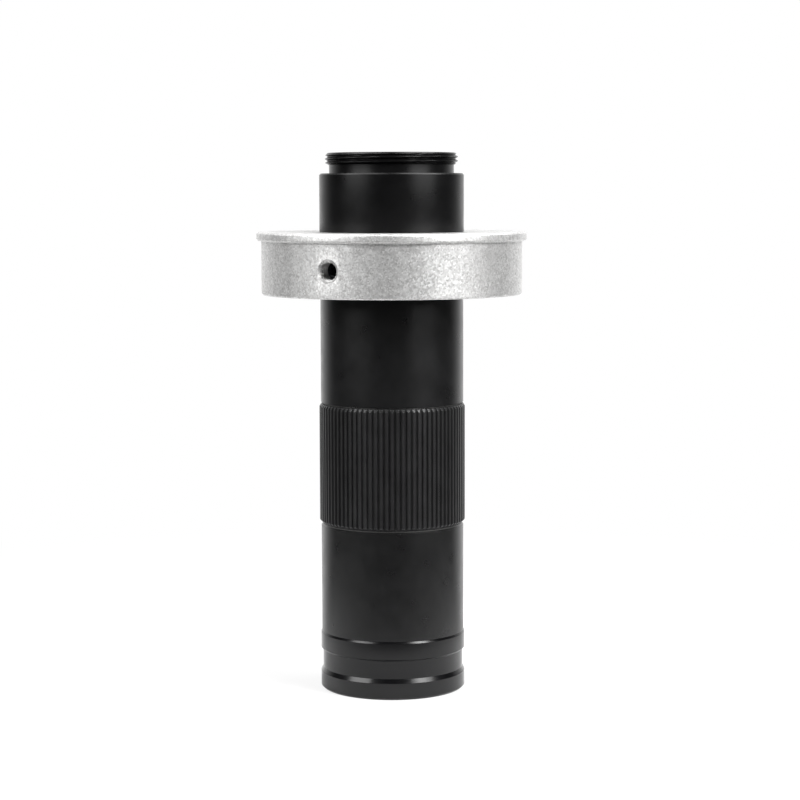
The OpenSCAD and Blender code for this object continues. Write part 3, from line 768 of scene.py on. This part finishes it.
def grub_screw(turn, z):
    """One threaded grub screw with a hexagon socket, on its way through the ring."""
    end = GRUB_LENGTH
    root_r = GRUB_R - GRUB_THREAD_DEPTH
    first_row = GRUB_TIP_H + GRUB_TIP_TO_THREAD
    row_count = int((end - first_row - GRUB_THREAD_TO_END) / GRUB_ROW)
    outline = [(0, 0), (GRUB_TIP_R, 0), (root_r, GRUB_TIP_H)]
    outline += [(GRUB_R, first_row + GRUB_ROW * k) for k in range(row_count)]
    outline += [(root_r, end - GRUB_END_CHAMFER), (root_r - GRUB_END_CHAMFER, end), (0, end)]

    def thread(r, x, around):
        if r != GRUB_R:
            return r
        return GRUB_R - GRUB_THREAD_DEPTH * thread_wave(x + GRUB_FROM_AXIS, around, GRUB_PITCH)

    screw = lathe("grub_screw", outline, turns=even_turns(HOLE_SEGMENTS), shape=thread)
    corner_r = GRUB_HEX / 2 / math.cos(math.pi / HEXAGON_SIDES)
    low = end - GRUB_HEX_DEPTH
    high = end + CUT_BEYOND
    socket = [(0, low), (corner_r, low), (corner_r, high), (0, high)]
    cut(screw, lathe("hexagon_cutter", socket, turns=even_turns(HEXAGON_SIDES)))
    lay_radially(screw, turn, GRUB_FROM_AXIS, z)
    return screw


def build_grub_screws(finishes):
    """The three grub screws, as one piece."""
    z = foot_of("holder_ring") + GRUB_ABOVE_FOOT
    obj = joined("grub_screws_shape", [grub_screw(turn, z) for turn in GRUB_TURNS])
    stand_in(obj, finishes, "holder_grub_screws", "holder", "screw_black")


# Studio

def add_lamp(name, place, aim, size, power):
    lamp = bpy.data.lights.new(name, "AREA")
    lamp.shape = "RECTANGLE"
    lamp.size = size[0] * MM
    lamp.size_y = size[1] * MM
    lamp.energy = power
    obj = bpy.data.objects.new(name, lamp)
    bpy.context.scene.collection.objects.link(obj)
    obj.location = Vector(place) * MM
    obj.rotation_euler = (Vector(aim) * MM - obj.location).to_track_quat("-Z", "Y").to_euler()


def light_studio():
    """On each side a tall softbox in front and a strip overhead, and a small lamp high on the right."""
    for name, lamp in LAMPS.items():
        add_lamp(name, **lamp)


def make_world():
    """White to the camera; for reflections, bright behind the lens and dark on the camera's side."""
    world = bpy.data.worlds.new("room")
    bpy.context.scene.world = world
    world.use_nodes = True
    nodes = Nodes(world.node_tree)
    nodes.tree.nodes.clear()
    parts = nodes.parts(nodes.new("ShaderNodeTexCoord").outputs["Generated"])
    behind = nodes.ranged(parts["Y"], DARK_ROOM_GLOW, BACKDROP_GLOW, span=ROOM_BEHIND)
    low = nodes.ranged(parts["Z"], CEILING_SHARE, 1, span=BACKDROP_TOP)
    room = nodes.new("ShaderNodeBackground")
    nodes.link(nodes.maths("MULTIPLY", behind, low), room.inputs["Color"])
    white = nodes.new("ShaderNodeBackground")
    white.inputs["Color"].default_value = (1, 1, 1, 1)
    to_camera = nodes.new("ShaderNodeLightPath").outputs["Is Camera Ray"]
    surface = nodes.mixed_shaders(to_camera, room.outputs[0], white.outputs[0])
    nodes.link(surface, nodes.new("ShaderNodeOutputWorld").inputs["Surface"])


def make_floor():
    floor = new_object("floor")
    bm = bmesh.new()
    bmesh.ops.create_grid(bm, x_segments=1, y_segments=1, size=FLOOR_SIZE / 2 * MM)
    bm.to_mesh(floor.data)
    bm.free()
    floor.data.materials.append(floor_finish())


def floor_finish():
    """White paper that glows into the backdrop, with the lens's shadow near its foot, and painted shade
    in front of it for every ray but the camera's.
    """
    finish = Finish("floor_finish")
    finish.constant("Roughness", PAPER_ROUGHNESS)
    finish.constant("Specular IOR Level", PAPER_GLOSS)
    distance = finish.length(finish.coordinates)
    stretched = finish.vector_maths("MULTIPLY", finish.coordinates, PAPER_STRETCH)["Vector"]
    path = finish.new("ShaderNodeLightPath").outputs

    # White to the camera, near the lens, further to its sides and behind it; in front, dark grey as
    # painted shade for reflections and bounce light
    behind = finish.parts(finish.direction(finish.coordinates))["Y"]
    behind = finish.ranged(behind, 0, 1, span=ROOM_BEHIND)
    near = finish.ranged(finish.length(stretched), 0, 1, span=metres(PAPER_NEAR), smooth=True)
    paper = finish.maths("MAXIMUM", near, behind)
    paper = finish.maths("MAXIMUM", paper, path["Is Camera Ray"])
    finish.feed(finish.ranged(paper, FLOOR_PAINTED_SHADE, FLOOR_WHITE, span=(0, 1)), "Base Color")

    # The glow is what the camera sees far from the lens, and what gloss and glass see behind it
    far = finish.ranged(distance, CONTACT_GLOW, 1, span=metres(GLOW_FAR), smooth=True)
    seen = finish.maths("MULTIPLY", far, path["Is Camera Ray"])
    reflected = finish.maths("MAXIMUM", path["Is Glossy Ray"], path["Is Transmission Ray"])
    reflected = finish.maths("MULTIPLY", reflected, behind)
    glow = finish.new("ShaderNodeEmission")
    finish.link(finish.ranged(reflected, 1, BACKDROP_GLOW, span=(0, 1)), glow.inputs["Strength"])
    glowing = finish.maths("MAXIMUM", seen, reflected)
    above = finish.mixed_shaders(glowing, finish.shader.outputs[0], glow.outputs[0])

    # From below the paper is clear, so that the front lens shows
    from_below = finish.new("ShaderNodeNewGeometry").outputs["Backfacing"]
    clear = finish.new("ShaderNodeBsdfTransparent").outputs[0]
    surface = finish.mixed_shaders(from_below, above, clear)
    finish.link(surface, finish.tree.nodes["Material Output"].inputs["Surface"])
    return finish.material


def place_camera():
    """The photograph's own view: level with the holder ring, tipped slightly down."""
    data = bpy.data.cameras.new("camera")
    data.sensor_width = SENSOR_MM
    data.lens = FOCAL_PX * SENSOR_MM / IMAGE_PX
    camera = bpy.data.objects.new("camera", data)
    bpy.context.scene.collection.objects.link(camera)
    tip = Matrix.Rotation(math.pi / 2 - CAMERA_DOWN, 4, "X") @ Matrix.Rotation(CAMERA_ROLL, 4, "Z")
    camera.matrix_world = Matrix.Translation(Vector(CAMERA_PLACE) * MM) @ tip
    bpy.context.scene.camera = camera


def main():
    bpy.context.scene.view_settings.view_transform = "Standard"
    finishes = make_finishes()
    dress_cad_nodes(finishes)
    build_head(finishes)
    build_holder_ring(finishes)
    build_grub_screws(finishes)
    build_zoom_ring(finishes)
    build_front_ring(finishes)
    make_world()
    make_floor()
    light_studio()
    place_camera()


main()
